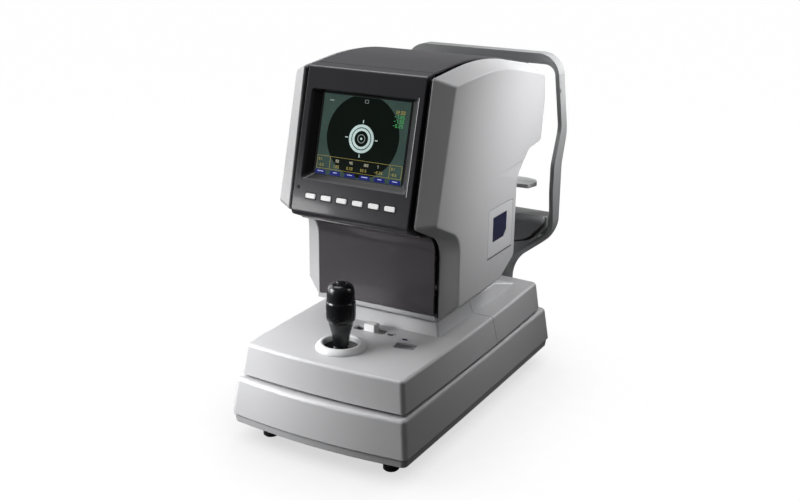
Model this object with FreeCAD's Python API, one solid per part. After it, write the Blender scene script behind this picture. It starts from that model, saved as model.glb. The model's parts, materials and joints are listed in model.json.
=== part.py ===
import FreeCAD, Part
import math
import os

# Table-top autorefractor: a base tray on four levelling feet, a two-axis sliding carriage with a joystick,
# a measuring head that rises on a column, and a headrest with a chinrest bolted to the rear of the base.
# Millimetres. +Z up, the operator sits at -Y, the patient at +Y, +X is to the operator's right.
# The outlines below are measured from the middle of the base footprint, on the table. save() moves every
# piece to the row origin, which lies under the middle of the overall box.

# ---- driving dimensions ----
BASE_HALF_X = 127.2
BASE_HALF_Y = 220.5
BASE_FRONT_BOW = 9.0
BASE_SIDE_BOW = 0.8
BASE_CORNER = 7.0
BASE_PLATE_Z = 24.0
BASE_SEAM_Z = 34.0
BASE_SEAM_GAP = 1.3
BASE_TOP_Z = 83.0
BASE_DRAFT = 6.0
CARRIAGE_HALF_X = 117.8
CARRIAGE_HALF_Y = 204.5
CARRIAGE_MID_Y = -4.5
CARRIAGE_CORNER = 6.5
CARRIAGE_LOW_Z = 87.5
CARRIAGE_TOP_Z = 127.5
CARRIAGE_DRAFT = 4.7
CARRIAGE_SEAM_Y = 36.5
CARRIAGE_SEAM_LEAN = 0.2
CARRIAGE_SEAM_GAP = 1.2
BOSS_TOP_Z = 145.0
WALL = 3.0
STICK_X = -4.0
STICK_Y = -153.0
STICK_PIVOT_Z = 116.0
GRIP_FOOT_RADIUS = 10.2
GRIP_FOOT_Z = 131.5
GRIP_RADIUS = 18.4
GRIP_FLUTES = 20
PRINT_BUTTON_X = 63.5
PRINT_BUTTON_Y = -110.0
PRINT_BUTTON_TURN = math.radians(10.7)
SHELL_INNER_X = 88.0
SHELL_OUTER_X = 112.0
LIP_X = 89.8
CENTRE_HALF_X = 81.8
PANEL_HALF_X = 85.0
PANEL_Y = -77.0
DOOR_PIN_Y = -70.5
DOOR_PIN_Z = 167.0
BEZEL_LOW_Y = -142.9
BEZEL_LOW_Z = 292.8
BEZEL_LENGTH = 178.0
BEZEL_TILT_DEG = 14.5
KEY_COUNT = 6
KEY_PITCH = 22.4
KEY_FIRST_X = -56.6
KEY_ROW_S = 19.2
KEY_WIDTH = 13.5
KEY_HEIGHT = 5.6
EYE_Z = 395.0
COLUMN_RADIUS = 20.0
COLUMN_Y = 20.0
SCREW_X = 44.0
SCREW_Y = 20.0
POST_Y = 235.5
CHINREST_FRONT_Y = 216.0
CHINREST_BACK_Y = 244.0
FRAME_HALF_X = 121.0
FRAME_TOP_Z = 454.0
FRAME_BAND = 6.0
OPENING_TOP_Z = 439.5
STEM_HALF_X = 54.4
STEM_FRONT_Y = 229.0
STEM_BACK_Y = 243.0
WEB_FRONT_Y = 238.0
CHINREST_TOP_Z = 221.0
RAIL_X = 50.0
FOOT_X = 89.0
FOOT_Y = 188.0
FOOT_RADIUS = 10.0
RUN_GAP = 0.05
OVERALL_FRONT_Y = -229.5
OVERALL_REAR_Y = 260.3

# Share of each half side that a bowed side's arc covers.
BOW_SHARE = 0.7

ROW_SHIFT = FreeCAD.Vector(0, -(OVERALL_FRONT_Y + OVERALL_REAR_Y) / 2, 0)
X_AXIS = FreeCAD.Vector(1, 0, 0)
Y_AXIS = FreeCAD.Vector(0, 1, 0)
Z_AXIS = FreeCAD.Vector(0, 0, 1)


# ---- building blocks ----
def vec(x, y, z):
    return FreeCAD.Vector(x, y, z)


def block(x0, x1, y0, y1, z0, z1):
    return Part.makeBox(x1 - x0, y1 - y0, z1 - z0, vec(x0, y0, z0))


def rod(radius, start, length, axis=Z_AXIS):
    return Part.makeCylinder(radius, length, start, axis)


def pipe(outer, inner, start, length, axis=Z_AXIS):
    return rod(outer, start, length, axis).cut(rod(inner, start, length, axis))


def union(shapes):
    return shapes[0].multiFuse(shapes[1:]).removeSplitter()


def group(shapes):
    return Part.makeCompound(shapes)


def mirror_x(shape):
    return shape.mirror(vec(0, 0, 0), X_AXIS)


def rounded_wire(corners, radii):
    """A closed wire through flat corners, each turned by an arc of its radius (0 keeps it sharp)."""
    count = len(corners)
    starts = []
    ends = []
    middles = []
    for index in range(count):
        here = corners[index]
        back = (corners[index - 1] - here).normalize()
        ahead = (corners[(index + 1) % count] - here).normalize()
        half_angle = back.getAngle(ahead) / 2
        radius = radii[index]
        reach = radius / math.tan(half_angle)
        bisector = (back + ahead).normalize()
        starts.append(here + back * reach)
        ends.append(here + ahead * reach)
        middles.append(here + bisector * (radius / math.sin(half_angle) - radius))
    edges = []
    for index in range(count):
        if radii[index] > 0:
            edges.append(Part.Arc(starts[index], middles[index], ends[index]).toShape())
        edges.append(Part.makeLine(ends[index], starts[(index + 1) % count]))
    return Part.Wire(edges)


def offset_corners(points, inset):
    """Move a counter-clockwise outline's corners inwards by inset, with mitred corners."""
    moved = []
    for index in range(len(points)):
        a = points[index - 1]
        b = points[index]
        c = points[(index + 1) % len(points)]
        first = (b[0] - a[0], b[1] - a[1])
        second = (c[0] - b[0], c[1] - b[1])
        first_length = math.hypot(*first)
        second_length = math.hypot(*second)
        n1 = (-first[1] / first_length, first[0] / first_length)
        n2 = (-second[1] / second_length, second[0] / second_length)
        scale = inset / (1 + n1[0] * n2[0] + n1[1] * n2[1])
        moved.append((b[0] + (n1[0] + n2[0]) * scale, b[1] + (n1[1] + n2[1]) * scale))
    return moved


def offset_radii(points, radii, inset):
    """Radii of the same outline moved inwards: outside corners tighten and inside corners open."""
    moved = []
    for index in range(len(points)):
        a = points[index - 1]
        b = points[index]
        c = points[(index + 1) % len(points)]
        turn = (b[0] - a[0]) * (c[1] - b[1]) - (b[1] - a[1]) * (c[0] - b[0])
        change = -inset if turn > 0 else inset
        moved.append(max(radii[index] + change, 0.5) if radii[index] > 0 else 0)
    return moved


def side_wire(points, radii, x):
    return rounded_wire([vec(x, y, z) for y, z in points], radii)


def side_prism(points, radii, x0, x1):
    """An outline in the Y-Z plane, extruded from x0 to x1."""
    return Part.Face(side_wire(points, radii, x0)).extrude(vec(x1 - x0, 0, 0))


def front_prism(points, radii, y0, y1):
    """An outline in the X-Z plane, extruded from y0 to y1."""
    wire = rounded_wire([vec(x, y0, z) for x, z in points], radii)
    return Part.Face(wire).extrude(vec(0, y1 - y0, 0))


def plan_prism(points, radii, z0, z1):
    """An outline in the X-Y plane, extruded from z0 to z1."""
    wire = rounded_wire([vec(x, y, z0) for x, y in points], radii)
    return Part.Face(wire).extrude(vec(0, 0, z1 - z0))


def rectangle(x0, x1, y0, y1):
    return [(x0, y0), (x1, y0), (x1, y1), (x0, y1)]


def bowed_wire(half_x, half_y, mid_y, bow_x, bow_y, corner, z):
    """A rounded rectangle whose four sides swell outwards by bow_x and bow_y."""
    rise_x = bow_x / (1 - BOW_SHARE / 2)
    rise_y = bow_y / (1 - BOW_SHARE / 2)
    arc_x = BOW_SHARE * half_x * half_x / rise_y
    arc_y = BOW_SHARE * half_y * half_y / rise_x
    corners = [
        vec(half_x, mid_y - half_y, z),
        vec(half_x + rise_x, mid_y, z),
        vec(half_x, mid_y + half_y, z),
        vec(0, mid_y + half_y + rise_y, z),
        vec(-half_x, mid_y + half_y, z),
        vec(-half_x - rise_x, mid_y, z),
        vec(-half_x, mid_y - half_y, z),
        vec(0, mid_y - half_y - rise_y, z),
    ]
    radii = [corner, arc_y, corner, arc_x, corner, arc_y, corner, arc_x]
    return rounded_wire(corners, radii)


def base_wire(inset, z):
    return bowed_wire(BASE_HALF_X - inset, BASE_HALF_Y - inset, 0, BASE_SIDE_BOW, BASE_FRONT_BOW,
                      BASE_CORNER, z)


def carriage_wire(inset, z):
    return bowed_wire(CARRIAGE_HALF_X - inset, CARRIAGE_HALF_Y - inset, CARRIAGE_MID_Y, 3, 5.5,
                      CARRIAGE_CORNER, z)


def loft(wires):
    return Part.makeLoft(wires, True, True)


def round_top(solid, top_z, radius):
    """Round the edges of the flat top face."""
    top = [face for face in solid.Faces if abs(face.BoundBox.ZMin - top_z) < 0.01]
    return solid.makeFillet(radius, top[0].Edges)


def round_corners(solid, top_z, radius):
    """Round the upright corners and the edges of the flat top face."""
    low_z = solid.BoundBox.ZMin
    kept = []
    for edge in solid.Edges:
        box = edge.BoundBox
        on_top = abs(box.ZMin - top_z) < 0.01
        if box.ZMax > low_z + 1 and (box.ZMin < top_z - 1 or on_top):
            kept.append(edge)
    return solid.makeFillet(radius, kept)


def turned(profile, x, y):
    """A solid of revolution about a vertical axis, from (radius, z) corners."""
    points = [vec(x + r, y, z) for r, z in profile]
    face = Part.Face(Part.makePolygon(points + [points[0]]))
    return face.revolve(vec(x, y, 0), Z_AXIS, 360)


def screw(start, axis, head_radius=3.0, head_length=2.0, shank_radius=1.5, shank_length=8.0):
    """A pan-head screw whose head seats at start and whose shank runs along axis."""
    head = rod(head_radius, start - axis * head_length, head_length, axis)
    return union([head, rod(shank_radius, start, shank_length, axis)])


def strip(path, radii, thickness, x0, x1):
    """A plate of even thickness, bent along a path in the Y-Z plane, thickened to the path's left."""
    inner = []
    inner_radii = []
    for index, point in enumerate(path):
        before = path[max(index - 1, 0)]
        after = path[min(index + 1, len(path) - 1)]
        first = FreeCAD.Vector(point[0] - before[0], point[1] - before[1], 0)
        second = FreeCAD.Vector(after[0] - point[0], after[1] - point[1], 0)
        if index == 0:
            first = second
        if index == len(path) - 1:
            second = first
        first.normalize()
        second.normalize()
        scale = thickness / (1 + first.dot(second))
        inner.append((point[0] - (first.y + second.y) * scale, point[1] + (first.x + second.x) * scale))
        turn = first.x * second.y - first.y * second.x
        change = -thickness if turn > 0 else thickness
        inner_radii.append(max(radii[index] + change, 0.5) if radii[index] > 0 else 0)
    return side_prism(path + inner[::-1], radii + inner_radii[::-1], x0, x1)


def save(name, shape):
    shape = shape.copy()
    shape.translate(ROW_SHIFT)
    if not shape.isValid():
        print("not valid:", name)
    box = shape.BoundBox
    print("%-22s %2d solids %9.0f mm3  x %7.1f %7.1f  y %7.1f %7.1f  z %6.1f %6.1f" % (
        name, len(shape.Solids), shape.Volume, box.XMin, box.XMax, box.YMin, box.YMax, box.ZMin, box.ZMax))
    shape.exportStep("parts/" + name + ".step")


# ---- base ----
def base_plate():
    """The bottom tray, its rim set in from the cover so that a dark line shows between them."""
    tray = loft([base_wire(3, BASE_PLATE_Z), base_wire(1.8, BASE_SEAM_Z)])
    pocket = loft([base_wire(6.5, BASE_PLATE_Z + WALL), base_wire(5, BASE_SEAM_Z + 1)])
    tray = tray.cut(pocket)
    for x, y in foot_places():
        tray = tray.cut(rod(3.05, vec(x, y, BASE_PLATE_Z - 1), WALL + 2))
    return tray


def base_cover_outside():
    solid = loft([base_wire(0, BASE_SEAM_Z + BASE_SEAM_GAP), base_wire(BASE_DRAFT, BASE_TOP_Z)])
    return round_top(solid, BASE_TOP_Z, 5)


def base_cover():
    inside = loft([base_wire(WALL, BASE_SEAM_Z), base_wire(BASE_DRAFT + WALL, BASE_TOP_Z - WALL)])
    window = block(-109, -67, 205, 240, 45, 72)
    cover = base_cover_outside().cut(inside).cut(window)
    return cover.cut(headrest_screw_shape()).cut(rail_bolt_holes())


def foot_places():
    return [(x, y) for x in (-FOOT_X, FOOT_X) for y in (-FOOT_Y, FOOT_Y)]


def foot_pads():
    profile = [(0, 0), (FOOT_RADIUS - 1.5, 0), (FOOT_RADIUS, 1.5), (FOOT_RADIUS, 7),
               (FOOT_RADIUS - 2.5, 10), (0, 10)]
    return group([turned(profile, x, y) for x, y in foot_places()])


def foot_studs():
    """Levelling studs: a wide collar under the tray, a thread through it and a nut above it."""
    profile = [(0, 10), (8, 10), (8, BASE_PLATE_Z), (3, BASE_PLATE_Z), (3, 27), (6, 27), (6, 31.5),
               (3, 31.5), (3, 33), (0, 33)]
    return group([turned(profile, x, y) for x, y in foot_places()])


def rail_bolt_holes():
    return group([rod(2.1, vec(x, y, 73), 20) for x in (-RAIL_X, RAIL_X) for y in (-60, 40, 140)])


def stage_chassis():
    """Bent steel channel under the deck that carries the rails."""
    top = block(-95, 95, -120, 180, 76, BASE_TOP_Z - WALL)
    left = block(-95, -92, -120, 180, BASE_PLATE_Z + WALL, 76)
    right = block(92, 95, -120, 180, BASE_PLATE_Z + WALL, 76)
    return union([top, left, right]).cut(rail_bolt_holes())


def stage_rails():
    """Two ground rails bolted through the deck, each with three counterbored bolt holes."""
    rails = [block(x - 6, x + 6, -75, 155, BASE_TOP_Z, 89) for x in (-RAIL_X, RAIL_X)]
    holes = rail_bolt_holes()
    return group([rail.cut(holes) for rail in rails])


def power_supply():
    case = block(-60, 40, 60, 165, BASE_PLATE_Z + WALL, 62)
    slots = [block(-55, 35, y, y + 3, 60, 63) for y in range(70, 156, 8)]
    return case.cut(group(slots))


def power_inlet():
    """Inlet socket and switch bezel in one rear module, flanged against the inside of its window."""
    flange = block(-110, -64, 207, 210, 42, 75)
    body = block(-107, -69, 185, 207, 47, 70.5)
    module = flange.fuse(body)
    cavity = block(-105, -81, 193, 211, 50, 67)
    rocker_well = block(-79, -69.8, 197, 211, 48, 69.5)
    pins = [block(x - 1, x + 1, 190, 208, z - 2, z + 2) for x, z in ((-100, 56), (-86, 56), (-93, 62))]
    return union([module.cut(cavity).cut(rocker_well)] + pins)


def switch_rocker():
    """Rocker with a shallow V face, resting with its lower end out."""
    outline = [(200, 52.5), (212.5, 51.5), (210.2, 60), (210.4, 68), (200, 66.5)]
    return side_prism(outline, [1.5, 1, 8, 1, 1.5], -78.6, -70.2)


# ---- headrest and chinrest ----
def headrest_screw_shape():
    places = [(x, z) for x in (-32, 32) for z in (50, 70)]
    return group([screw(vec(x, STEM_BACK_Y, z), vec(0, -1, 0), 5, 3.5, 2.5, 28) for x, z in places])


def headrest_bracket():
    """Spacer that fills between the bowed rear wall of the base and the flat stem."""
    pad = block(-42, 42, 215, STEM_FRONT_Y, 42, 78)
    return pad.cut(base_cover_outside()).cut(headrest_screw_shape())


def headrest_outline(bottom_z):
    """Front view of the frame: an arch on two pillars that sweep in to a narrow stem."""
    elbow_z = 190.3
    neck_z = 138.3
    return [(-STEM_HALF_X, bottom_z), (STEM_HALF_X, bottom_z), (STEM_HALF_X, neck_z),
            (FRAME_HALF_X, elbow_z), (FRAME_HALF_X, FRAME_TOP_Z), (-FRAME_HALF_X, FRAME_TOP_Z),
            (-FRAME_HALF_X, elbow_z), (-STEM_HALF_X, neck_z)]


def face_opening():
    """Opening between the pillars; its foot follows the underside of the chinrest."""
    half = FRAME_HALF_X - FRAME_BAND
    corners = [(-40.2, 167), (40.2, 167), (92.6, 179), (half, 204.3), (half, OPENING_TOP_Z),
               (-half, OPENING_TOP_Z), (-half, 204.3), (-92.6, 179)]
    return front_prism(corners, [60, 60, 30, 12, 16, 16, 12, 30], 190, 280)


def headrest_frame():
    """Band cut to a side profile that bends back at face height, with a recessed web in its foot."""
    outline = headrest_outline(46)
    front = front_prism(outline, [6, 6, 53, 45, 32, 32, 45, 53], 195, 275)
    recess_outline = headrest_outline(104)
    recess_corners = offset_corners(recess_outline, FRAME_BAND)
    recess_radii = offset_radii(recess_outline, [14, 14, 53, 45, 22, 22, 45, 53], FRAME_BAND)
    recess = front_prism(recess_corners, recess_radii, 190, WEB_FRONT_Y)
    recess = recess.common(block(-130, 130, 190, 280, 100, 210))
    post_pocket = block(-7, 7, 200, POST_Y + 5.7, 140, 170)
    front = front.cut(face_opening()).cut(recess).cut(post_pocket)
    profile = [(STEM_FRONT_Y, 40), (STEM_BACK_Y, 40), (STEM_BACK_Y, 190), (248, 210), (247.2, 295),
               (262, 340), (240, 424), (240, 460), (219, 460), (219, 424), (239, 352), (237.5, 341),
               (219, 297), (219, 258), (224.5, 215), (STEM_FRONT_Y, 190)]
    bends = [0, 0, 20, 30, 40, 40, 30, 0, 0, 30, 20, 14, 30, 60, 30, 12]
    side = side_prism(profile, bends, -130, 130)
    return front.common(side).cut(headrest_screw_shape())


def forehead_pad():
    """Curved rest on the patient's side of the crossbar, hollowed towards the middle."""
    corners = [(-64, 240), (0, 240.4), (64, 240), (64, 252), (0, 244), (-64, 252)]
    return plan_prism(corners, [0, 0, 0, 3, 150, 3], 425, 452)


def chinrest_outline(inset):
    """Front view of the chinrest: flat top, short flanks and a wide curved keel."""
    side_x = 114.7
    corners = [(-40.2, 167.4), (40.2, 167.4), (92.4, 179.3), (side_x, 204.6), (side_x, CHINREST_TOP_Z),
               (-side_x, CHINREST_TOP_Z), (-side_x, 204.6), (-92.4, 179.3)]
    radii = [60, 60, 30, 11.7, 4, 4, 11.7, 30]
    if inset == 0:
        return corners, radii
    return offset_corners(corners, inset), offset_radii(corners, radii, inset)


def chinrest_housing():
    """Crosspiece held between the pillars by a lug at each end, with the chin post's bushing."""
    corners, radii = chinrest_outline(0)
    inner, inner_radii = chinrest_outline(WALL)
    shell = front_prism(corners, radii, CHINREST_FRONT_Y, CHINREST_BACK_Y)
    hollow = front_prism(inner, inner_radii, CHINREST_FRONT_Y - 5, CHINREST_BACK_Y - WALL)
    bushing = rod(9, vec(0, POST_Y, 206), CHINREST_TOP_Z - 206)
    half = FRAME_HALF_X - FRAME_BAND
    lugs = [block(x - 2, x + 2, 228, 243, 210, 217) for x in (2 - half, half - 2)]
    body = union([shell.cut(hollow), bushing] + lugs)
    return body.cut(rod(5 + RUN_GAP, vec(0, POST_Y, 130), 95)).removeSplitter()


def chinrest_cover_block(inset):
    side_x = 112.5
    corners = [(-38, 175), (38, 175), (89, 186.5), (side_x, 212.5), (side_x, CHINREST_TOP_Z),
               (-side_x, CHINREST_TOP_Z), (-side_x, 212.5), (-89, 186.5)]
    radii = [60, 60, 30, 6, 3.5, 3.5, 6, 30]
    front_y = CHINREST_FRONT_Y - 11 + inset
    back_y = CHINREST_FRONT_Y + inset
    top_z = CHINREST_TOP_Z - inset
    side = [(front_y, 160), (back_y, 160), (back_y, top_z), (front_y, top_z)]
    front = front_prism(offset_corners(corners, inset), offset_radii(corners, radii, inset), 200, 230)
    return front.common(side_prism(side, [0, 0, 0, 9 - inset], -130, 130))


def chinrest_cover():
    """Front of the chinrest, rounded over its top edge; the housing shows below it as a lip."""
    return chinrest_cover_block(0).cut(chinrest_cover_block(WALL))


def chinrest_motor():
    gearbox = block(-58, -30, 218, 240, 186, 208)
    can = rod(9, vec(-58, 229, 198), 26, vec(-1, 0, 0))
    return union([gearbox, can])


def chin_post():
    return rod(5, vec(0, POST_Y, 172), 87)


def chin_plate():
    """Wing-shaped rest for the chin, dished along its middle, with swept tips."""
    outline = [(-40, 205), (40, 205), (87, 209), (91.5, 230), (85, 242), (70, 248), (-70, 248), (-85, 242),
               (-91.5, 230), (-87, 209)]
    plate = plan_prism(outline, [60, 60, 4, 8, 10, 14, 14, 10, 8, 4], 261.3, 267)
    socket = rod(9, vec(0, POST_Y, 249), 13)
    dish = rod(160, vec(0, 200, 267 + 156), 60, Y_AXIS)
    return union([plate, socket]).cut(dish).cut(rod(5, vec(0, POST_Y, 248), 11))


def chin_paper():
    """Stack of chin tissues with two holes, laid in the dish."""
    stack = plan_prism(rectangle(-30, 30, 213, 243), [3, 3, 3, 3], 262, 271)
    dish = rod(160, vec(0, 200, 267 + 156), 60, Y_AXIS)
    upper = rod(156.5, vec(0, 200, 267 + 156), 60, Y_AXIS)
    return stack.common(dish).cut(upper)


# ---- two-axis stage ----
def cross_slide_plate():
    """Runs fore and aft on the base rails and carries two rails crosswise."""
    plate = block(-62, 62, -42, 122, 97, 101)
    pads = []
    for x in (-RAIL_X, RAIL_X):
        for y in (-20, 100):
            pad = block(x - 12, x + 12, y - 15, y + 15, 84.5, 97)
            pads.append(pad.cut(block(x - 6.1, x + 6.1, y - 16, y + 16, 84, 89.1)))
    rails = [block(-62, 62, y - 6, y + 6, 101, 107) for y in (-10, 90)]
    return union([plate] + pads + rails)


def carriage_plate():
    """Runs crosswise on the cross slide and carries the column."""
    plate = block(-72, 72, -55, 150, 113, 118)
    pads = []
    for y in (-10, 90):
        pad = block(-15, 15, y - 12, y + 12, 102.5, 113)
        pads.append(pad.cut(block(-16, 16, y - 6.1, y + 6.1, 102, 107.1)))
    return union([plate] + pads).cut(rod(4 + RUN_GAP, vec(SCREW_X, SCREW_Y, 110), 10))


def boss(inset, low_z, top_z):
    """Raised platform under the head, with drafted sides and a long ramp down to the rear."""
    side = [(-64 + inset, low_z), (176 - inset, low_z), (118 - inset, top_z), (-59 + inset, top_z)]
    front = [(-87 + inset, low_z), (87 - inset, low_z), (82 - inset, top_z), (-82 + inset, top_z)]
    flat = [0, 0, 0, 0]
    return side_prism(side, flat, -90, 90).common(front_prism(front, flat, -70, 180))


def stick_hole(radius, low_z, height):
    return rod(radius, vec(STICK_X, STICK_Y, low_z), height)


def carriage_shell():
    outside = loft([carriage_wire(0, CARRIAGE_LOW_Z), carriage_wire(CARRIAGE_DRAFT, CARRIAGE_TOP_Z)])
    outside = round_top(outside, CARRIAGE_TOP_Z, 4)
    raised = round_corners(boss(0, CARRIAGE_TOP_Z - 0.5, BOSS_TOP_Z), BOSS_TOP_Z, 3)
    inside = loft([carriage_wire(WALL, CARRIAGE_LOW_Z - 1), carriage_wire(CARRIAGE_DRAFT + WALL, 124.5)])
    room = boss(WALL, CARRIAGE_TOP_Z - WALL - 0.5, BOSS_TOP_Z - WALL)
    shell = outside.fuse(raised).cut(inside).cut(room)
    column_hole = plan_prism(rectangle(-26, 54, -10, 50), [8, 8, 8, 8], BOSS_TOP_Z - 10, BOSS_TOP_Z + 1)
    lever_slot = plan_prism(rectangle(-24, 21, -92.5, -78.5), [2, 2, 2, 2], 120, 130)
    shell = shell.cut(column_hole).cut(lever_slot).cut(stick_hole(24, 120, 10))
    return shell.cut(print_button_prism(0.35, 110, 130)).cut(lamp_hole())


def lamp_hole():
    return rod(1.8, vec(53, -92, 120), 10)


def seam_side(end_y, gap):
    """Everything on one side of the leaning joint between the front and rear covers."""
    low_y = CARRIAGE_SEAM_Y + gap + CARRIAGE_SEAM_LEAN * (CARRIAGE_TOP_Z - 80)
    high_y = CARRIAGE_SEAM_Y + gap + CARRIAGE_SEAM_LEAN * (CARRIAGE_TOP_Z - 150)
    return side_prism([(end_y, 80), (low_y, 80), (high_y, 150), (end_y, 150)], [0, 0, 0, 0], -130, 130)


def carriage_front_cover():
    return carriage_shell().common(seam_side(-240, -CARRIAGE_SEAM_GAP / 2)).removeSplitter()


def carriage_rear_cover():
    return carriage_shell().common(seam_side(240, CARRIAGE_SEAM_GAP / 2)).removeSplitter()


# ---- controls on the carriage ----
def joystick_ring():
    profile = [(22.5, 127.5), (32, 127.5), (32, 129), (31.2, 130.9), (29.4, 132.9), (27, 134.4),
               (25.2, 134.9), (23.8, 134.6), (22.9, 133.8), (22.5, 132.6)]
    return turned(profile, STICK_X, STICK_Y)


def joystick_housing():
    """Cup under the cover with a sloped collar round the stick and two bearings for the gimbal."""
    profile = [(7, 92), (23.9, 92), (23.9, 127.4), (22, 127.4), (16, 123), (16, 121.6), (20.5, 124.8),
               (20.5, 95), (7, 95)]
    cup = turned(profile, STICK_X, STICK_Y)
    bearing = rod(1.5 + RUN_GAP, vec(STICK_X - 25, STICK_Y, STICK_PIVOT_Z), 50, X_AXIS)
    return cup.cut(bearing)


def gimbal_ring():
    """Ring that tips fore and aft on crosswise pins and holds the stick's sideways pivot."""
    ring = pipe(15.8, 13, vec(STICK_X, STICK_Y, STICK_PIVOT_Z - 2.5), 5)
    pins = rod(1.5, vec(STICK_X - 23, STICK_Y, STICK_PIVOT_Z), 46, X_AXIS)
    pins = pins.cut(stick_hole(14, 100, 30))
    holes = rod(1.5 + RUN_GAP, vec(STICK_X, STICK_Y - 20, STICK_PIVOT_Z), 40, Y_AXIS)
    return union([ring, pins]).cut(holes)


def joystick_stick():
    """Pivot ball, shaft and tail, with a dome about the pivot that closes the hole at every tilt."""
    pivot = vec(STICK_X, STICK_Y, STICK_PIVOT_Z)
    ball = Part.makeSphere(9, pivot)
    dome = Part.makeSphere(15.5, pivot).cut(Part.makeSphere(14, pivot)).common(stick_hole(20, 123.8, 12))
    neck = stick_hole(8.2, 118, 12.5)
    shaft = stick_hole(5, 118, 85)
    tail = stick_hole(3, 97, 15)
    pins = rod(1.5, vec(STICK_X, STICK_Y - 15.5, STICK_PIVOT_Z), 31, Y_AXIS)
    return union([ball, dome, neck, shaft, tail, pins])


def grip_curve(corners):
    """A smooth curve of the grip's outside, through (radius, z) corners."""
    curve = Part.BSplineCurve()
    curve.interpolate([vec(STICK_X + r, STICK_Y, z) for r, z in corners])
    return curve.toShape()


def grip_lines(corners):
    return Part.makePolygon([vec(STICK_X + r, STICK_Y, z) for r, z in corners]).Edges


def joystick_grip():
    """Grip that turns on the stick: a waist, a fluted barrel and a domed cap with a well for the button."""
    waist = [(GRIP_FOOT_RADIUS, GRIP_FOOT_Z), (10.7, 140), (13.2, 151.5), (15.9, 162.6)]
    cap = [(17.6, 190), (17.3, 198), (16.5, 204.5), (14.4, 209.2), (11, 211.6), (6, 212.3)]
    bore = RUN_GAP + 5
    barrel = [waist[-1], (17.9, 165.4), (GRIP_RADIUS, 168), (GRIP_RADIUS, 188), cap[0]]
    inside = [cap[-1], (6, 203.5), (bore, 203.5), (bore, GRIP_FOOT_Z), waist[0]]
    edges = [grip_curve(waist)] + grip_lines(barrel) + [grip_curve(cap)] + grip_lines(inside)
    face = Part.Face(Part.Wire(edges))
    grip = face.revolve(vec(STICK_X, STICK_Y, 0), Z_AXIS, 360)
    return grip.cut(group(grip_flutes()))


def grip_flutes():
    """Shallow upright grooves spaced evenly round the barrel."""
    flutes = []
    for index in range(GRIP_FLUTES):
        angle = 2 * math.pi * index / GRIP_FLUTES
        reach = GRIP_RADIUS + 0.6
        start = vec(STICK_X + reach * math.cos(angle), STICK_Y + reach * math.sin(angle), 170)
        flutes.append(rod(1.2, start, 16))
    return flutes


def grip_button():
    profile = [(0, 205.5), (5.6, 205.5), (5.6, 213), (4.6, 214.4), (0, 214.9)]
    return turned(profile, STICK_X, STICK_Y)


def lock_lever():
    """Sliding lever that clamps the stage; its foot is wider than the slot."""
    foot = block(-15, 15, -95, -76, 120.5, 124)
    cap = plan_prism(rectangle(-8, 8, -92, -79), [1.5, 1.5, 1.5, 1.5], 124, 137)
    return round_top(union([foot, cap]), 137, 1.2)


def print_button_prism(clearance, z0, z1):
    angle = PRINT_BUTTON_TURN
    half_length = 13.5 + clearance
    half_width = 8.5 + clearance
    corners = []
    for u, v in ((-1, -1), (1, -1), (1, 1), (-1, 1)):
        a = u * half_length
        b = v * half_width
        corners.append((PRINT_BUTTON_X + a * math.cos(angle) - b * math.sin(angle),
                        PRINT_BUTTON_Y + a * math.sin(angle) + b * math.cos(angle)))
    return plan_prism(corners, [2, 2, 2, 2], z0, z1)


def print_button():
    """Button below the deck's surface, scooped along its length for a fingertip."""
    cap = print_button_prism(0, 121.5, 127)
    flange = print_button_prism(2, 119.5, 121.5)
    scoop_axis = vec(-math.sin(PRINT_BUTTON_TURN), math.cos(PRINT_BUTTON_TURN), 0)
    scoop_start = vec(PRINT_BUTTON_X, PRINT_BUTTON_Y, 127 + 34 - 3.4) - scoop_axis * 20
    return union([cap, flange]).cut(rod(34, scoop_start, 40, scoop_axis))


# ---- column and lift ----
def column_tube():
    return pipe(COLUMN_RADIUS, COLUMN_RADIUS - 4, vec(0, COLUMN_Y, 118), 170)


def lift_motor():
    return union([block(SCREW_X - 14, SCREW_X + 14, SCREW_Y + 12, SCREW_Y + 40, 118, 136),
                  rod(4, vec(SCREW_X, SCREW_Y + 26, 136), 5)])


def lift_screw():
    """Lead screw with a belt pulley at its foot."""
    pulley = rod(9, vec(SCREW_X, SCREW_Y, 120), 7)
    return union([rod(4, vec(SCREW_X, SCREW_Y, 111), 134), pulley])


# ---- head: side shells ----
def shell_edge_outline():
    """Side outline of the shell where it meets the centre band."""
    points = [(-138.5, 290.5), (-71, 259.5), (-71, 153.2), (70, 153.2), (113, 188), (114, 300), (150, 331),
              (192, 335), (199, 405), (192, 443), (26, 474.5), (-98, 463.5)]
    radii = [5, 34, 3, 8, 10, 25, 20, 8, 60, 14, 500, 4]
    return points, radii


def shell_face_outline():
    """Side outline of the shell's flat outer face, smaller all round."""
    points = [(-125.5, 294), (-60.5, 264.5), (-60.5, 173), (64, 174), (107, 195), (108, 304), (146, 336),
              (186, 340), (195, 404), (190, 431), (44, 460.5), (-82, 454)]
    radii = [5, 32, 3, 8, 10, 25, 20, 8, 60, 14, 400, 4]
    return points, radii


def shell_block(inset, x_in, x_out):
    points, radii = shell_edge_outline()
    face_points, face_radii = shell_face_outline()
    if inset > 0:
        radii = offset_radii(points, radii, inset)
        points = offset_corners(points, inset)
        face_radii = offset_radii(face_points, face_radii, inset)
        face_points = offset_corners(face_points, inset)
    return loft([side_wire(points, radii, x_in), side_wire(face_points, face_radii, x_out)])


def shell_lip():
    """Rounded rim of the shell's inner edge, in two flats."""
    points, radii = shell_edge_outline()
    wires = []
    for inset, x in ((1.8, SHELL_INNER_X), (0.5, SHELL_INNER_X + 0.5), (0, LIP_X)):
        corners = offset_corners(points, inset)
        wires.append(side_wire(corners, offset_radii(points, radii, inset), x))
    return loft(wires)


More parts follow.
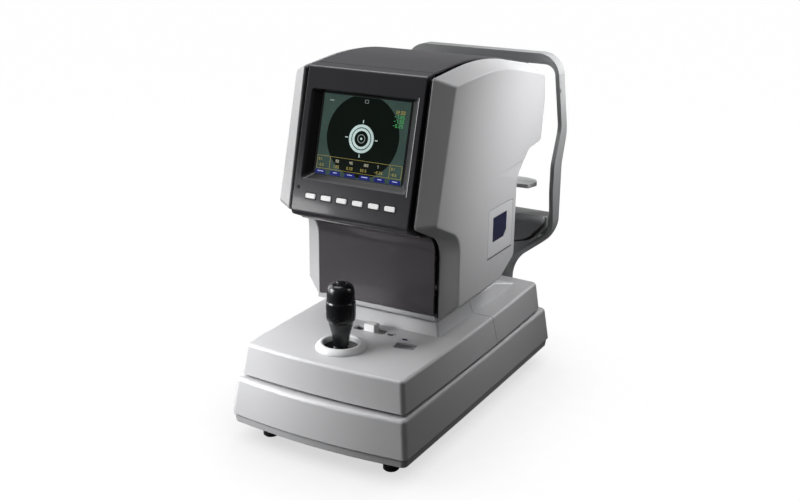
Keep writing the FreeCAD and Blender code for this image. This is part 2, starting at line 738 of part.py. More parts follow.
def plain_shell():
    """Right-hand shell: a tub with broad bevels round a flat outer face."""
    outside = shell_block(0, LIP_X, SHELL_OUTER_X)
    outer_face = [face for face in outside.Faces if face.BoundBox.XMin > SHELL_OUTER_X - 0.01]
    outside = outside.makeFillet(2.5, outer_face[0].Edges).fuse(shell_lip())
    inside = shell_block(WALL, SHELL_INNER_X - 0.01, SHELL_OUTER_X - WALL)
    return outside.cut(inside).cut(side_crease())


def side_crease():
    """A shallow wedge off the outer face, deepest at the rear, whose upper edge reads as a crease."""
    fade = vec(SHELL_OUTER_X + 0.01, 46, 318.7)
    high = vec(SHELL_OUTER_X + 0.01, 150, 325.8)
    low = vec(SHELL_OUTER_X + 0.01, 150, 292)
    deep = vec(SHELL_OUTER_X - 1.6, 150, 325.8)
    triangles = [(fade, high, low), (fade, high, deep), (fade, low, deep), (high, low, deep)]
    faces = [Part.Face(Part.makePolygon([a, b, c, a])) for a, b, c in triangles]
    return Part.Solid(Part.Shell(faces))


def hatch_outline(grow):
    return rectangle(21 - grow, 96 + grow, 213 - grow, 277 + grow)


def right_shell():
    pocket = side_prism(hatch_outline(0.7), [4, 4, 4, 4], SHELL_OUTER_X - 1.6, SHELL_OUTER_X + 5)
    slit_outline = rectangle(22, 70, 205, 206.2)
    slit = side_prism(slit_outline, [0.4, 0.4, 0.4, 0.4], SHELL_OUTER_X - 1, SHELL_OUTER_X + 5)
    return plain_shell().cut(pocket).cut(slit)


def left_shell():
    return mirror_x(plain_shell())


def hatch_panel():
    panel = side_prism(hatch_outline(0), [3.5, 3.5, 3.5, 3.5], SHELL_OUTER_X - 1.6, SHELL_OUTER_X)
    return panel.cut(side_prism(*window_outline(0), SHELL_OUTER_X - 2, SHELL_OUTER_X + 1))


def window_outline(shrink):
    """Window with one lower corner cut off."""
    low = 231 + shrink
    high = 265 - shrink
    front = 35 + shrink
    rear = 78 - shrink
    points = [(front, low), (70, low), (rear, 239), (rear, high), (front, high)]
    return points, [1, 1, 1, 1, 1]


def hatch_window():
    return side_prism(*window_outline(0.05), SHELL_OUTER_X - 1.6, SHELL_OUTER_X - 0.5)


def side_frames():
    """Dark ribs that close the slot between each shell and the centre band."""
    points, radii = shell_edge_outline()
    outer = side_prism(offset_corners(points, 2.2), offset_radii(points, radii, 2.2), 85.4, SHELL_INNER_X)
    inner = side_prism(offset_corners(points, 20), offset_radii(points, radii, 20), 85, SHELL_INNER_X + 1)
    right = outer.cut(inner)
    return group([right, mirror_x(right)])


# ---- head: centre band ----
def to_bezel(shape):
    """Move a shape drawn flat (X across, Y up the face, Z outwards) onto the tilted front."""
    placed = shape.copy()
    placed.Placement = FreeCAD.Placement(
        vec(0, BEZEL_LOW_Y, BEZEL_LOW_Z), FreeCAD.Rotation(X_AXIS, 90 - BEZEL_TILT_DEG))
    return placed


def key_centres():
    return [KEY_FIRST_X + KEY_PITCH * index for index in range(KEY_COUNT)]


def recess(grow, z_front, z_back):
    """Funnel from the bezel's face down to the display."""
    front = rectangle(-74.5 - grow, 74.5 + grow, 38 - grow, 150.5 + grow)
    back = rectangle(-63.5 - grow, 63.5 + grow, 47.5 - grow, 148.5 + grow)
    front_wire = rounded_wire([vec(x, s, z_front) for x, s in front], [4, 4, 4, 4])
    back_wire = rounded_wire([vec(x, s, z_back) for x, s in back], [4, 4, 4, 4])
    return loft([back_wire, front_wire])


def bezel_point(s):
    """Side-view point on the tilted front, s up the slope from its reference corner."""
    angle = math.radians(BEZEL_TILT_DEG)
    return (BEZEL_LOW_Y + s * math.sin(angle), BEZEL_LOW_Z + s * math.cos(angle))


def screen_bezel():
    """Tilted front tub with a funnel down to the display and an undercut lip above the printer door."""
    outline = [bezel_point(-5.3), (-117.5, 276.2), (-79.5, 467), bezel_point(BEZEL_LENGTH)]
    body = side_prism(outline, [7, 1, 1, 4], -CENTRE_HALF_X, CENTRE_HALF_X)
    inner = offset_corners(outline, WALL)
    inner[1] = (inner[1][0] + 18, inner[1][1] - 7.7)
    inner[2] = (inner[2][0] + 12, inner[2][1] + 1)
    room = side_prism(inner, [4, 0, 0, 2], 2.8 - CENTRE_HALF_X, CENTRE_HALF_X - 2.8)
    funnel = to_bezel(recess(2.5, 1, -10)).common(body)
    body = body.cut(room).fuse(funnel)
    body = body.cut(to_bezel(recess(0, 0.5, -10)))
    for x in key_centres():
        body = body.cut(to_bezel(key_prism(x, 0.35, -8, 2)))
    return body.removeSplitter()


def display_panel():
    return to_bezel(block(-66, 66, 45.2, 151, -16, -10.05))


def key_prism(x, grow, z0, z1):
    half_width = KEY_WIDTH / 2 + grow
    half_height = KEY_HEIGHT / 2 + grow
    outline = rectangle(x - half_width, x + half_width, KEY_ROW_S - half_height, KEY_ROW_S + half_height)
    return plan_prism(outline, [1.2, 1.2, 1.2, 1.2], z0, z1)


def key(x):
    """A key with a retaining flange behind the bezel and a stem to its switch."""
    cap = round_top(key_prism(x, 0, -4.2, 1.1), 1.1, 0.4)
    flange = key_prism(x, 1.5, -5.4, -4.2)
    stem = key_prism(x, -1.2, -11, -5.4)
    return to_bezel(union([cap, flange, stem]))


def top_cover():
    """Dark band over the top, slightly prouder than the shells."""
    path = [(191, 444.8), (30, 475.5), (-79.2, 467)]
    return strip(path, [0, 500, 0], WALL, -CENTRE_HALF_X, CENTRE_HALF_X)


def rear_cover():
    """Patient-side panel with the round window for the measuring nose."""
    path = [(66, 156.5), (110, 190), (111, 301), (149, 333), (188, 338), (194, 405), (190.2, 441.3)]
    panel = strip(path, [0, 10, 25, 20, 8, 60, 0], WALL, -CENTRE_HALF_X, CENTRE_HALF_X)
    return panel.cut(rod(24.5, vec(0, 150, EYE_Z), 60, Y_AXIS))


def bottom_pan():
    """Closes the head from below, open round the column and the lift screw."""
    pan = block(-CENTRE_HALF_X, CENTRE_HALF_X, -64, 64, 157, 160)
    return pan.cut(plan_prism(rectangle(-28, 56, -10, 50), [8, 8, 8, 8], 150, 165))


def front_sill():
    """Light strip across the foot of the front, with ears for the printer door's hinge pin."""
    outline = [(PANEL_Y, 153.4), (-69.7, 153.4), (-69.7, 157.6), (-74, 157.6), (-76.6, 160.4),
               (PANEL_Y, 160.4)]
    bar = side_prism(outline, [2.5, 0, 0, 0, 0, 0], -87, 87)
    ears = []
    for x in (-62, 62):
        ears.append(rod(3.2, vec(x - 2.5, DOOR_PIN_Y, DOOR_PIN_Z), 5, X_AXIS))
        ears.append(block(x - 2.5, x + 2.5, DOOR_PIN_Y + 1, -66, 154.5, DOOR_PIN_Z + 2))
        ears.append(block(x - 2.5, x + 2.5, -72, -66, 154.5, 157.4))
    pin = rod(1.5, vec(-64, DOOR_PIN_Y, DOOR_PIN_Z), 128, X_AXIS)
    return union([bar] + ears + [pin])


def printer_door():
    """Curved front panel; two knuckles turn on the sill's pin."""
    path = [(-115.9, 274.3), (PANEL_Y, 262.6), (PANEL_Y, 161.2)]
    panel = strip(path, [0, 24, 0], 2.5, -PANEL_HALF_X, PANEL_HALF_X)
    knuckles = []
    for x in (-53, 53):
        arm = block(x - 5, x + 5, PANEL_Y + 2, DOOR_PIN_Y, DOOR_PIN_Z - 2.5, DOOR_PIN_Z + 2.5)
        knuckles.append(arm.fuse(rod(2.5, vec(x - 5, DOOR_PIN_Y, DOOR_PIN_Z), 10, X_AXIS)))
    return union([panel] + knuckles).cut(rod(1.5 + RUN_GAP, vec(-70, DOOR_PIN_Y, DOOR_PIN_Z), 140, X_AXIS))


# ---- head: inside ----
def head_chassis():
    """Base plate with the column bearing, two uprights and the optics deck."""
    plate = block(-72, 72, -14, 80, 176, 182)
    sleeve = pipe(26, COLUMN_RADIUS + RUN_GAP, vec(0, COLUMN_Y, 166), 74)
    plate = plate.cut(rod(23, vec(0, COLUMN_Y, 170), 20))
    uprights = [block(x - 3, x + 3, -10, 60, 182, 345) for x in (-69, 69)]
    deck = block(-72, 72, -60, 145, 345, 350)
    saddles = [block(-12, 12, y - 6, y + 6, 350, EYE_Z - 18) for y in (0, 120)]
    feet = [block(x - 6, x + 6, 0, 40, 160, 176) for x in (-62, 66)]
    frame = union([plate, sleeve] + uprights + [deck] + saddles + feet)
    tube_seat = rod(19, vec(0, -30, EYE_Z), 210, Y_AXIS)
    return frame.cut(tube_seat).cut(rod(4 + RUN_GAP, vec(SCREW_X, SCREW_Y, 170), 20))


def measuring_tube():
    tube = pipe(19, 15, vec(0, -20, EYE_Z), 196, Y_AXIS)
    return union([tube, pipe(22, 18.9, vec(0, 40, EYE_Z), 30, Y_AXIS)])


def nose_ring():
    """Dark cone round the measuring window, open towards the patient."""
    ring = pipe(24, 18, vec(0, 176, EYE_Z), 22, Y_AXIS)
    back = pipe(18.5, 9.5, vec(0, 176, EYE_Z), 3, Y_AXIS)
    return union([ring, back])


def objective_lens():
    lens = rod(9.4, vec(0, 176, EYE_Z), 5, Y_AXIS)
    ball = Part.makeSphere(22, vec(0, 160, EYE_Z))
    return lens.common(ball)


def mire_ring():
    return pipe(17.9, 11, vec(0, 184, EYE_Z), 3, Y_AXIS)


def camera_module():
    return union([block(-20, 20, -58, -24, EYE_Z - 20, EYE_Z + 20), rod(15, vec(0, -24, EYE_Z), 4, Y_AXIS)])


def printer_cradle():
    """Open tray between two cheeks that carry the paper roll's axle, with the print head in front."""
    floor = block(-36, 36, -66, -16, 184, 188)
    cheeks = [block(x - 2, x + 2, -66, -16, 188, 226) for x in (-34, 34)]
    print_head = block(-36, 36, -72, -62, 228, 240)
    posts = [block(x - 2, x + 2, -66, -60, 226, 228) for x in (-34, 34)]
    axle = rod(3, vec(-34, -40, 210), 68, X_AXIS)
    shelf = block(-36, 36, -16, -14, 176, 190)
    return union([floor] + cheeks + [print_head] + posts + [axle, shelf])


def paper_roll():
    return pipe(20, 3 + RUN_GAP, vec(-28.5, -40, 210), 57, X_AXIS)


# ---- everything ----
def all_parts():
    parts = {
        "base_plate": base_plate(),
        "base_cover": base_cover(),
        "foot_pads": foot_pads(),
        "foot_studs": foot_studs(),
        "stage_chassis": stage_chassis(),
        "stage_rails": stage_rails(),
        "power_supply": power_supply(),
        "power_inlet": power_inlet(),
        "switch_rocker": switch_rocker(),
        "headrest_bracket": headrest_bracket(),
        "headrest_screws": headrest_screw_shape(),
        "headrest_frame": headrest_frame(),
        "forehead_pad": forehead_pad(),
        "chinrest_housing": chinrest_housing(),
        "chinrest_cover": chinrest_cover(),
        "chinrest_motor": chinrest_motor(),
        "chin_post": chin_post(),
        "chin_plate": chin_plate(),
        "chin_paper": chin_paper(),
        "cross_slide_plate": cross_slide_plate(),
        "carriage_plate": carriage_plate(),
        "carriage_front_cover": carriage_front_cover(),
        "carriage_rear_cover": carriage_rear_cover(),
        "joystick_ring": joystick_ring(),
        "joystick_housing": joystick_housing(),
        "gimbal_ring": gimbal_ring(),
        "joystick_stick": joystick_stick(),
        "joystick_grip": joystick_grip(),
        "grip_button": grip_button(),
        "lock_lever": lock_lever(),
        "print_button": print_button(),
        "column_tube": column_tube(),
        "lift_motor": lift_motor(),
        "lift_screw": lift_screw(),
        "left_shell": left_shell(),
        "right_shell": right_shell(),
        "hatch_panel": hatch_panel(),
        "hatch_window": hatch_window(),
        "side_frames": side_frames(),
        "screen_bezel": screen_bezel(),
        "display_panel": display_panel(),
        "top_cover": top_cover(),
        "rear_cover": rear_cover(),
        "bottom_pan": bottom_pan(),
        "front_sill": front_sill(),
        "printer_door": printer_door(),
        "head_chassis": head_chassis(),
        "measuring_tube": measuring_tube(),
        "nose_ring": nose_ring(),
        "objective_lens": objective_lens(),
        "mire_ring": mire_ring(),
        "camera_module": camera_module(),
        "printer_cradle": printer_cradle(),
        "paper_roll": paper_roll(),
    }
    for index, x in enumerate(key_centres()):
        parts["key_%d" % (index + 1)] = key(x)
    return parts


os.makedirs("parts", exist_ok=True)
for part_name, part_shape in all_parts().items():
    save(part_name, part_shape)
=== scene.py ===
import json
import math

import bmesh
import bpy
from mathutils import Matrix, Vector


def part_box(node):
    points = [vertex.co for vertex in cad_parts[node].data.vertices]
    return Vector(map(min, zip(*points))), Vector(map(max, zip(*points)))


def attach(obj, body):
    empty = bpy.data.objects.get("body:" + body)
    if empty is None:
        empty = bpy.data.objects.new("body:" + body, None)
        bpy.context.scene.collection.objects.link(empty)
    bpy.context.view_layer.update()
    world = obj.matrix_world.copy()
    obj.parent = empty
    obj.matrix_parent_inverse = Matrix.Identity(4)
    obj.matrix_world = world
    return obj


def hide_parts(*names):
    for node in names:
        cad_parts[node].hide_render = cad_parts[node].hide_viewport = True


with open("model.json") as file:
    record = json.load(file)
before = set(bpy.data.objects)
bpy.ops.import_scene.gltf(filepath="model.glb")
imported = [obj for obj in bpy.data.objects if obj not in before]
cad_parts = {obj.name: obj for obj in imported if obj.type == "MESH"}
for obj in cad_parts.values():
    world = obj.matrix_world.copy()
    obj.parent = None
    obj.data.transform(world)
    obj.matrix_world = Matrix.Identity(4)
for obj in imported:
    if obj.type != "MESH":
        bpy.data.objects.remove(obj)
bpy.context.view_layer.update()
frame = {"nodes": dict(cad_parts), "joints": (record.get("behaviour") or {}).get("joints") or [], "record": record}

MM = 0.001
WHITE = (1, 1, 1)
COAT_ROUGHNESS = 0.08
BEVEL_SAMPLES = 4


# ---------------------------------------------------------------------------------------------
# Shader building
# ---------------------------------------------------------------------------------------------
class Shader:
    """A node material under construction: colour, roughness and bump are built up in steps."""

    def __init__(self, name, color, roughness=0.5, metallic=0.0, coat=0.0, specular=0.5):
        self.material = bpy.data.materials.new(name)
        self.material.use_nodes = True
        self.tree = self.material.node_tree
        self.tree.nodes.clear()
        self.output = self.add("ShaderNodeOutputMaterial")
        self.surface = self.add("ShaderNodeBsdfPrincipled")
        self.link(self.surface.outputs[0], self.output.inputs["Surface"])
        self.surface.inputs["Metallic"].default_value = metallic
        self.surface.inputs["Coat Weight"].default_value = coat
        self.surface.inputs["Coat Roughness"].default_value = COAT_ROUGHNESS
        self.surface.inputs["Specular IOR Level"].default_value = specular
        self.coordinates = self.add("ShaderNodeTexCoord").outputs["Object"]
        self.color = self.value_color(color)
        self.roughness = self.value(roughness)
        self.normal = None

    def add(self, kind, **settings):
        node = self.tree.nodes.new(kind)
        for key, setting in settings.items():
            setattr(node, key, setting)
        return node

    def link(self, source, target):
        self.tree.links.new(source, target)

    def value(self, number):
        node = self.add("ShaderNodeValue")
        node.outputs[0].default_value = number
        return node.outputs[0]

    def value_color(self, color):
        node = self.add("ShaderNodeRGB")
        node.outputs[0].default_value = (*color, 1)
        return node.outputs[0]

    def noise(self, scale, detail=3.0, stretch=(1, 1, 1)):
        """Noise in object space; scale is in features per metre."""
        mapping = self.add("ShaderNodeMapping")
        mapping.inputs["Scale"].default_value = stretch
        self.link(self.coordinates, mapping.inputs["Vector"])
        texture = self.add("ShaderNodeTexNoise")
        texture.inputs["Scale"].default_value = scale
        texture.inputs["Detail"].default_value = detail
        self.link(mapping.outputs[0], texture.inputs["Vector"])
        return texture.outputs["Fac"]

    def remap(self, source, low, high, low_out=0.0, high_out=1.0):
        node = self.add("ShaderNodeMapRange")
        node.inputs["From Min"].default_value = low
        node.inputs["From Max"].default_value = high
        node.inputs["To Min"].default_value = low_out
        node.inputs["To Max"].default_value = high_out
        self.link(source, node.inputs["Value"])
        return node.outputs["Result"]

    def math(self, operation, first, second):
        node = self.add("ShaderNodeMath", operation=operation)
        for socket, item in zip(node.inputs, (first, second)):
            if isinstance(item, (int, float)):
                socket.default_value = item
            else:
                self.link(item, socket)
        return node.outputs[0]

    def tint(self, factor, color, blend="MIX"):
        """Lay a second colour over the first by a factor."""
        node = self.add("ShaderNodeMix", data_type="RGBA", blend_type=blend)
        self.link(factor, node.inputs["Factor"])
        self.link(self.color, node.inputs["A"])
        node.inputs["B"].default_value = (*color, 1)
        self.color = node.outputs["Result"]

    def vary_roughness(self, factor, amount):
        centred = self.math("SUBTRACT", factor, 0.5)
        self.roughness = self.math("ADD", self.roughness, self.math("MULTIPLY", centred, amount))

    def round_edges(self, radius):
        node = self.add("ShaderNodeBevel", samples=BEVEL_SAMPLES)
        node.inputs["Radius"].default_value = radius
        if self.normal is not None:
            self.link(self.normal, node.inputs["Normal"])
        self.normal = node.outputs[0]

    def bump(self, height, distance):
        node = self.add("ShaderNodeBump")
        node.inputs["Strength"].default_value = 1.0
        node.inputs["Distance"].default_value = distance
        self.link(height, node.inputs["Height"])
        if self.normal is not None:
            self.link(self.normal, node.inputs["Normal"])
        self.normal = node.outputs[0]

    def worn_edges(self, color, radius, amount):
        """Lighten convex edges, where handling polishes them."""
        bevel = self.add("ShaderNodeBevel", samples=BEVEL_SAMPLES)
        bevel.inputs["Radius"].default_value = radius
        geometry = self.add("ShaderNodeNewGeometry")
        dot = self.add("ShaderNodeVectorMath", operation="DOT_PRODUCT")
        self.link(bevel.outputs[0], dot.inputs[0])
        self.link(geometry.outputs["Normal"], dot.inputs[1])
        edge = self.remap(dot.outputs["Value"], 1.0, 0.9, 0.0, amount)
        self.tint(edge, color)

    def glow(self, strength):
        """White emission on a part that holds no lamp: painted light."""
        self.surface.inputs["Emission Color"].default_value = (*WHITE, 1)
        self.surface.inputs["Emission Strength"].default_value = strength

    def done(self):
        self.link(self.color, self.surface.inputs["Base Color"])
        self.link(self.roughness, self.surface.inputs["Roughness"])
        if self.normal is not None:
            self.link(self.normal, self.surface.inputs["Normal"])
        return self.material


# ---------------------------------------------------------------------------------------------
# Materials
# ---------------------------------------------------------------------------------------------
def darker(color, share):
    return tuple(channel * share for channel in color)


def lighter(color, share, lift=0.0):
    return tuple(min(channel * share + lift, 1) for channel in color)


def plastic_shader(name, color, roughness=0.42, grain=0.00003, edge=0.0008, coat=0.0):
    """Moulded housing plastic: spark-eroded grain, faint flow mottling and soft edges."""
    shader = Shader(name, color, roughness, coat=coat)
    grain_noise = shader.noise(2600, 2)
    mottle = shader.noise(14, 4)
    dust = shader.noise(900, 1)
    shader.tint(shader.remap(mottle, 0.35, 0.7, 0.0, 0.07), darker(color, 0.82))
    shader.tint(shader.remap(dust, 0.66, 0.74, 0.0, 0.05), lighter(color, 1.35, 0.02))
    shader.vary_roughness(mottle, 0.12)
    shader.round_edges(edge)
    shader.bump(grain_noise, grain)
    return shader


def moulded_plastic(name, color, roughness, glow=0.0, **settings):
    shader = plastic_shader(name, color, roughness, **settings)
    shader.glow(glow)
    return shader.done()


def gloss_plastic(name, color, roughness=0.16, edge=0.0005, coat=0.35, glow=0.0):
    """Polished plastic with slight orange peel and fine wiping marks."""
    shader = Shader(name, color, roughness, coat=coat)
    peel = shader.noise(160, 2)
    wipe = shader.noise(90, 4, (1, 9, 1))
    shader.tint(shader.remap(wipe, 0.5, 0.8, 0.0, 0.12), lighter(color, 1.6, 0.01))
    shader.vary_roughness(wipe, 0.14)
    shader.round_edges(edge)
    shader.bump(peel, 0.00004)
    shader.glow(glow)
    return shader.done()


def brushed_metal(name, color, roughness, direction, edge=0.0003):
    """Bare metal with fine tool lines stretched along a direction, and faint stains."""
    shader = Shader(name, color, roughness, metallic=1.0)
    lines = shader.noise(260, 5, direction)
    stain = shader.noise(30, 3)
    shader.tint(shader.remap(lines, 0.4, 0.65, 0.0, 0.25), darker(color, 0.72))
    shader.tint(shader.remap(stain, 0.55, 0.8, 0.0, 0.12), darker(color, 0.6))
    shader.vary_roughness(lines, 0.25)
    shader.round_edges(edge)
    shader.bump(lines, 0.00002)
    return shader.done()


def painted_metal(name, color, roughness=0.36, edge=0.0009):
    """Powder coat: fine pebble, slight gloss variation, paler where edges are rubbed."""
    shader = Shader(name, color, roughness, coat=0.1)
    pebble = shader.noise(1100, 2)
    cloud = shader.noise(18, 3)
    shader.tint(shader.remap(cloud, 0.4, 0.7, 0.0, 0.12), darker(color, 0.8))
    shader.worn_edges(lighter(color, 1.7), 0.0006, 0.35)
    shader.vary_roughness(cloud, 0.14)
    shader.round_edges(edge)
    shader.bump(pebble, 0.00005)
    return shader.done()


def rubber(name, color, roughness=0.75):
    """Matt rubber with a fine grain and a pale bloom."""
    shader = Shader(name, color, roughness, specular=0.3)
    grain = shader.noise(1500, 3)
    bloom = shader.noise(40, 4)
    shader.tint(shader.remap(bloom, 0.45, 0.75, 0.0, 0.25), lighter(color, 1.8, 0.02))
    shader.vary_roughness(bloom, 0.15)
    shader.round_edges(0.0006)
    shader.bump(grain, 0.00005)
    return shader.done()


def paper(name, color):
    """Stacked paper: fibres, and thin layer lines one above the other."""
    shader = Shader(name, color, 0.85, specular=0.2)
    fibres = shader.noise(700, 4)
    layers = shader.noise(2500, 1, (0.02, 0.02, 1))
    shader.tint(shader.remap(layers, 0.45, 0.6, 0.0, 0.22), darker(color, 0.7))
    shader.tint(shader.remap(fibres, 0.5, 0.8, 0.0, 0.08), darker(color, 0.85))
    shader.bump(fibres, 0.00006)
    return shader.done()


def lens_glass(name):
    """Coated glass with faint rings of another tint."""
    shader = Shader(name, (0.32, 0.3, 0.5), 0.04, coat=1.0)
    rings = shader.noise(60, 2)
    shader.tint(shader.remap(rings, 0.4, 0.7, 0.0, 0.5), (0.1, 0.16, 0.32))
    shader.surface.inputs["Transmission Weight"].default_value = 0.55
    shader.surface.inputs["IOR"].default_value = 1.5
    return shader.done()


def opal(name):
    """Cloudy plastic that scatters light."""
    shader = Shader(name, (0.86, 0.84, 0.78), 0.35)
    cloud = shader.noise(200, 3)
    shader.tint(shader.remap(cloud, 0.4, 0.7, 0.0, 0.2), (0.7, 0.66, 0.6))
    shader.surface.inputs["Subsurface Weight"].default_value = 0.3
    shader.surface.inputs["Subsurface Radius"].default_value = (0.002, 0.002, 0.002)
    return shader.done()


LIGHT_GREY = (0.52, 0.52, 0.53)
CHARCOAL = (0.043, 0.040, 0.049)
CHARCOAL_MOULD = {"roughness": 0.33, "grain": 0.00002, "edge": 0.0017, "coat": 0.35}
EVEN = (1, 1, 1)

FINISHES = {
    "light_plastic": moulded_plastic("light_plastic", LIGHT_GREY, 0.40),
    "black_rubber": rubber("black_rubber", (0.02, 0.02, 0.02)),
    "zinc_steel": brushed_metal("zinc_steel", (0.62, 0.62, 0.6), 0.3, EVEN),
    "folded_steel": painted_metal("folded_steel", (0.34, 0.35, 0.36), 0.42),
    "ground_steel": brushed_metal("ground_steel", (0.68, 0.68, 0.69), 0.2, (1, 1, 20)),
    "black_plastic": moulded_plastic("black_plastic", (0.012, 0.012, 0.013), 0.45),
    "black_gloss": gloss_plastic("black_gloss", (0.006, 0.0065, 0.008), 0.2, coat=0.1),
    "cast_aluminium": brushed_metal("cast_aluminium", (0.58, 0.58, 0.6), 0.5, EVEN),
    "grey_paint": painted_metal("grey_paint", (0.35, 0.355, 0.36), 0.34),
    "silicone": rubber("silicone", (0.22, 0.225, 0.235), 0.55),
    "grey_plastic": moulded_plastic("grey_plastic", (0.2, 0.205, 0.21), 0.38),
    "motor_metal": painted_metal("motor_metal", (0.08, 0.08, 0.085), 0.4),
    "pale_plastic": moulded_plastic("pale_plastic", (0.66, 0.665, 0.67), 0.38),
    "tissue": paper("tissue", (0.86, 0.86, 0.84)),
    "machined_aluminium": brushed_metal("machined_aluminium", (0.66, 0.66, 0.68), 0.3, (20, 1, 1)),
    "brass": brushed_metal("brass", (0.72, 0.52, 0.22), 0.3, EVEN),
    "white_plastic": gloss_plastic("white_plastic", (0.93, 0.93, 0.93), 0.25),
    "dark_key": gloss_plastic("dark_key", (0.27, 0.27, 0.28), 0.22, 0.0006),
    "navy_plastic": gloss_plastic("navy_plastic", (0.012, 0.014, 0.05), 0.12),
    "charcoal_plastic": moulded_plastic("charcoal_plastic", CHARCOAL, **CHARCOAL_MOULD),
    "charcoal_gloss": gloss_plastic("charcoal_gloss", (0.062, 0.054, 0.060), 0.4, 0.0008),
    "screen_glass": gloss_plastic("screen_glass", (0.01, 0.02, 0.02), 0.08),
    "anodised": moulded_plastic("anodised", (0.02, 0.02, 0.022), 0.3),
    "lens_glass": lens_glass("lens_glass"),
    "opal_plastic": opal("opal_plastic"),
    "mid_grey_plastic": moulded_plastic("mid_grey_plastic", (0.33, 0.335, 0.33), 0.4),
    # Pale grey with a white emission: a painted highlight for the recess wall, not a lit part.
    "painted_highlight_grey": moulded_plastic("painted_highlight_grey", (0.8, 0.8, 0.81), 0.25, glow=0.45),
    # White keys with a white emission: a painted glow, as the keys hold no lamp.
    "key_plastic": gloss_plastic("key_plastic", (0.93, 0.93, 0.93), 0.25, glow=0.35),
    "grip_plastic": gloss_plastic("grip_plastic", (0.005, 0.0055, 0.0075), 0.25, 0.0002, coat=0.15),
    "hatch_plastic": moulded_plastic("hatch_plastic", (0.58, 0.58, 0.59), 0.40),
    "print_ink": moulded_plastic("print_ink", (0.03, 0.03, 0.035), 0.5, grain=0.00001, edge=0.0001),
}


def screen_light(name, color, strength=1.0):
    """A lit patch of the display: fine pixel rows over a slightly cloudy glow."""
    shader = Shader(name, darker(color, 0.4), 0.25, specular=0.2)
    rows = shader.remap(shader.noise(1400, 1, (0.2, 1, 1)), 0.3, 0.7, 0.82, 1.12)
    cloud = shader.remap(shader.noise(45, 3), 0.3, 0.7, 0.85, 1.12)
    shader.surface.inputs["Emission Color"].default_value = (*color, 1)
    shader.link(shader.math("MULTIPLY", shader.math("MULTIPLY", rows, cloud), strength),
                shader.surface.inputs["Emission Strength"])
    return shader.done()


GLOW = {
    "haze": screen_light("screen_haze", (0.035, 0.060, 0.052)),
    "pupil": screen_light("screen_pupil", (0.0015, 0.004, 0.0025)),
    "mire": screen_light("screen_mire", (0.44, 0.56, 0.54)),
    "faint": screen_light("screen_faint", (0.22, 0.27, 0.26)),
    "amber": screen_light("screen_amber", (0.30, 0.25, 0.07)),
    "green": screen_light("screen_green", (0.06, 0.30, 0.09)),
    "label": screen_light("screen_label", (0.42, 0.40, 0.30)),
    "blue": screen_light("screen_blue", (0.012, 0.015, 0.13)),
    "tab_mark": screen_light("screen_tab_mark", (0.40, 0.45, 0.75)),
}


SPECIAL_FINISH = {
    # bottom_pan gets the dark motor finish in place of its grey folded steel: painted shade under the head.
    "hatch_panel": "hatch_plastic", "joystick_ring": "pale_plastic", "bottom_pan": "motor_metal",
    "joystick_grip": "grip_plastic",
    "key_1": "key_plastic", "key_2": "key_plastic", "key_3": "key_plastic",
    "key_4": "key_plastic", "key_5": "key_plastic", "key_6": "key_plastic",
}


def finish_cad_nodes():
    """Give every CAD node the finish that its material slot names in the record, unless SPECIAL_FINISH names
    another.
    """
    for entry in frame["record"]["subparts"]:
        node = frame["nodes"][entry["node"]]
        finish = SPECIAL_FINISH.get(entry["node"], entry["material_slot"])
        node.data.materials.clear()
        node.data.materials.append(FINISHES[finish])


# ---------------------------------------------------------------------------------------------
# Building flat and turned pieces
# ---------------------------------------------------------------------------------------------
def circle(x, y, radius, steps=48):
    turns = [2 * math.pi * i / steps for i in range(steps)]
    return [(x + radius * math.cos(a), y + radius * math.sin(a)) for a in turns]


def rounded_box(x0, x1, y0, y1, radius, steps=5):
    points = []
    corners = ((x1 - radius, y1 - radius, 0), (x0 + radius, y1 - radius, 90),
               (x0 + radius, y0 + radius, 180), (x1 - radius, y0 + radius, 270))
    for x, y, start in corners:
        for i in range(steps + 1):
            angle = math.radians(start + 90 * i / steps)
            points.append((x + radius * math.cos(angle), y + radius * math.sin(angle)))
    return points


class Piece:
    """One visible piece, gathered from closed prisms that stand on a surface."""

    def __init__(self, name, place):
        self.name = name
        self.place = place
        self.mesh = bmesh.new()
        self.materials = []

    def slot_of(self, material):
        if material not in self.materials:
            self.materials.append(material)
        return self.materials.index(material)

    def loop(self, outline, height):
        return [self.mesh.verts.new(self.place(u, v, height)) for u, v in outline]

    def prism(self, outline, low, high, material):
        bottom = self.loop(outline, low)
        top = self.loop(outline, high)
        faces = [self.mesh.faces.new(top), self.mesh.faces.new(bottom[::-1])]
        faces += self.walls(bottom, top)
        self.paint(faces, material)

    def ring(self, outer, inner, low, high, material):
        corners = ((outer, low), (outer, high), (inner, high), (inner, low))
        loops = [self.loop(outline, height) for outline, height in corners]
        faces = []
        for i in range(4):
            faces += self.walls(loops[i], loops[(i + 1) % 4])
        self.paint(faces, material)

    def dome(self, outlines, heights, material):
        """Stacked outlines that close in a cap."""
        loops = [self.loop(outline, height) for outline, height in zip(outlines, heights)]
        faces = [self.mesh.faces.new(loops[0][::-1]), self.mesh.faces.new(loops[-1])]
        for first, second in zip(loops, loops[1:]):
            faces += self.walls(first, second)
        self.paint(faces, material)

    def walls(self, bottom, top):
        count = len(bottom)
        sides = []
        for i in range(count):
            j = (i + 1) % count
            sides.append(self.mesh.faces.new((bottom[i], bottom[j], top[j], top[i])))
        return sides

    def paint(self, faces, material):
        index = self.slot_of(material)
        for face in faces:
            face.material_index = index

    def done(self, body, slot):
        bmesh.ops.recalc_face_normals(self.mesh, faces=self.mesh.faces)
        data = bpy.data.meshes.new(self.name)
        self.mesh.to_mesh(data)
        self.mesh.free()
        for material in self.materials:
            data.materials.append(material)
        piece = bpy.data.objects.new(self.name, data)
        bpy.context.scene.collection.objects.link(piece)
        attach(piece, body)


# ---------------------------------------------------------------------------------------------
# The tilted front: screen picture, key frames, sensor
# ---------------------------------------------------------------------------------------------
def joint_axis(name):
    for joint in frame["joints"]:
        if joint["name"] == name:
            return Vector(joint["axis"]).normalized()
    raise ValueError(name)


def key_middle(number):
    low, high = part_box("key_%d" % number)
    return (low + high) / 2


